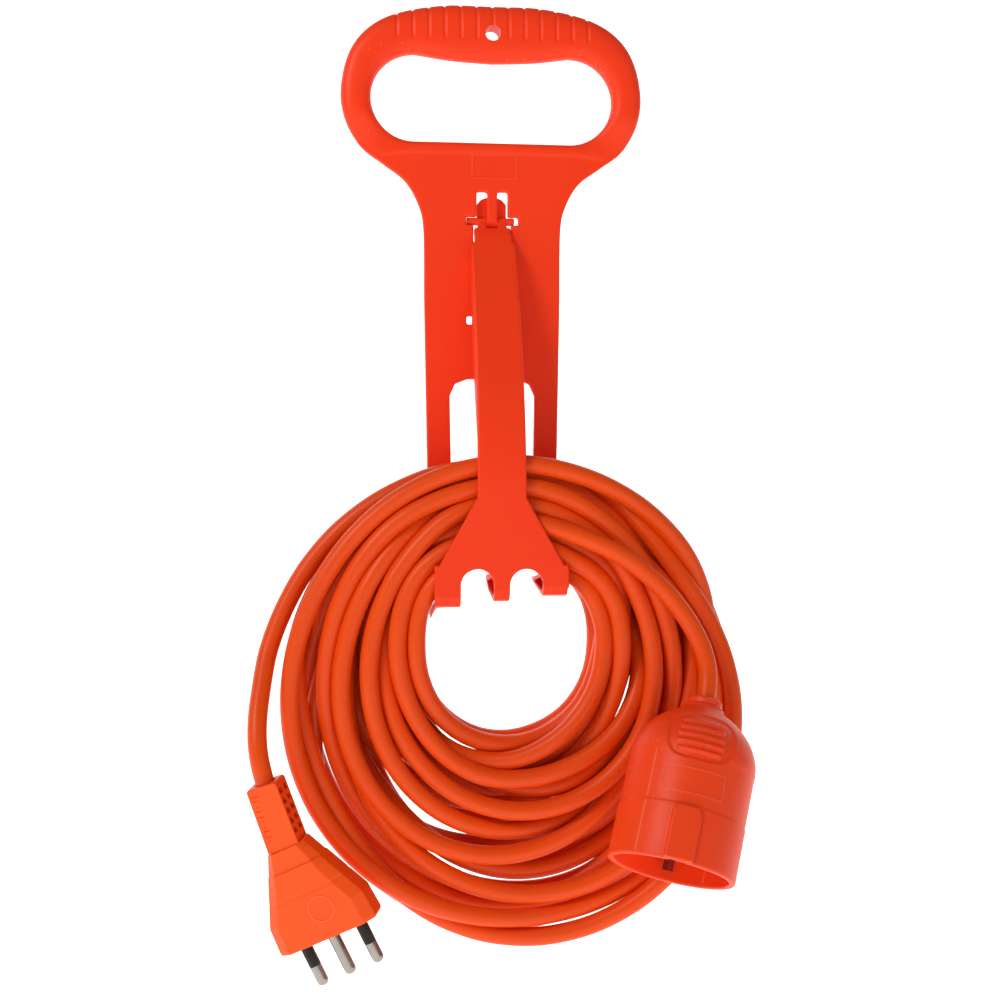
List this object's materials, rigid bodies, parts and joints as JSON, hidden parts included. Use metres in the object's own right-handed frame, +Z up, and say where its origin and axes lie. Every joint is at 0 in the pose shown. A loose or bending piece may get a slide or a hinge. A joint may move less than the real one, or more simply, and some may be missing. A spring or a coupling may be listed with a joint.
{
  "type": "extension cord",
  "caption": "Coiled orange extension cord with a flat three-pin plug and a round socket, on a hanging handle with a hinged clamp arm.",
  "frame": {"origin": "centre of the hanging hole, in the middle plane of the handle plate", "axes": "+Z up along the hanging object, +Y to the plate's back, +X to the right as seen from the front"},
  "size_m": [0.2115, 0.109, 0.4189],
  "materials": {
    "holder": "moulded polypropylene, satin, red-orange",
    "jacket": "soft PVC cord jacket, orange, satin",
    "plug_pvc": "moulded PVC, orange, satin",
    "socket_pvc": "moulded PVC, red-orange, satin",
    "carrier": "hard white moulding",
    "nickel": "nickel-plated brass, polished",
    "brass": "stamped brass spring",
    "steel": "zinc-plated screw",
    "black": "hard black moulding",
    "core_brown": "core insulation, brown",
    "core_green": "core insulation, green with a yellow stripe",
    "core_blue": "core insulation, blue"
  },
  "bodies": {
    "holder": {"handle_plate": "holder", "cord_coil": "jacket", "cord_plug_tail": "jacket", "cord_socket_tail": "jacket", "plug_body": "plug_pvc", "plug_strain_relief": "plug_pvc", "plug_bridge": "carrier", "line_pin": "nickel", "neutral_pin": "nickel", "earth_pin": "nickel", "line_pin_sleeve": "black", "neutral_pin_sleeve": "black", "plug_core_brown": "core_brown", "plug_core_green_yellow": "core_green", "plug_core_blue": "core_blue", "socket_shell": "socket_pvc", "socket_insert": "socket_pvc", "socket_grommet": "socket_pvc", "earth_strap": "nickel", "line_contact": "brass", "neutral_contact": "brass", "earth_contact": "brass", "socket_core_brown": "core_brown", "socket_core_green_yellow": "core_green", "socket_core_blue": "core_blue", "cord_clamp": "black", "clamp_screw_1": "steel", "clamp_screw_2": "steel", "insert_screw": "steel"},
    "clamp": {"clamp_arm": "holder"}
  },
  "joints": [
    {"name": "arm_hinge", "type": "hinge", "parent": "holder", "child": "clamp", "pos_m": [0, 0.0013, -0.0823], "axis": [-1, 0, 0], "range_deg": [0, 90]}
  ]
}
